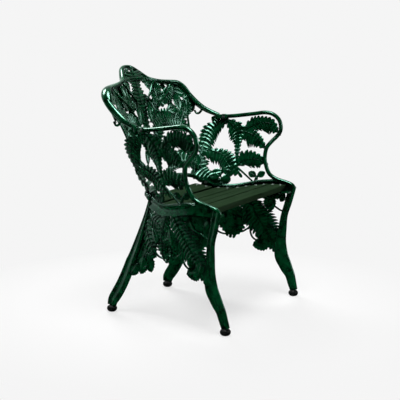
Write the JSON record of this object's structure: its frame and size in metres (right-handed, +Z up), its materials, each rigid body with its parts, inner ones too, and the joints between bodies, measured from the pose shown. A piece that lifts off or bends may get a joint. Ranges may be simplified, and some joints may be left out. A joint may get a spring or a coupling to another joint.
{
  "type": "garden armchair",
  "caption": "Cast-iron garden armchair with pierced fern and bramble ends, a curved pierced back with a raised crest, and a dished seat of timber slats.",
  "frame": {"origin": "middle of the chair's bounding box, on the floor under the feet", "axes": "+Z up, front of the seat towards -Y, +X to the sitter's left"},
  "size_m": [0.698, 0.5683, 0.8536],
  "materials": {
    "painted_iron": "gloss dark green paint",
    "painted_timber": "satin dark grey-green paint",
    "fixings": "satin",
    "foot_black": "satin black"
  },
  "bodies": {
    "root": {"back_panel": "painted_iron", "left_end": "painted_iron", "right_end": "painted_iron", "seat_slat_1": "painted_timber", "seat_slat_2": "painted_timber", "seat_slat_3": "painted_timber", "seat_slat_4": "painted_timber", "seat_slat_5": "painted_timber", "slat_bolts_left": "fixings", "slat_bolts_right": "fixings", "slat_nuts_left": "fixings", "slat_nuts_right": "fixings", "back_bolts": "fixings", "back_nuts": "fixings", "foot_front_left": "foot_black", "foot_front_right": "foot_black", "foot_rear_left": "foot_black", "foot_rear_right": "foot_black"}
  },
  "joints": []
}
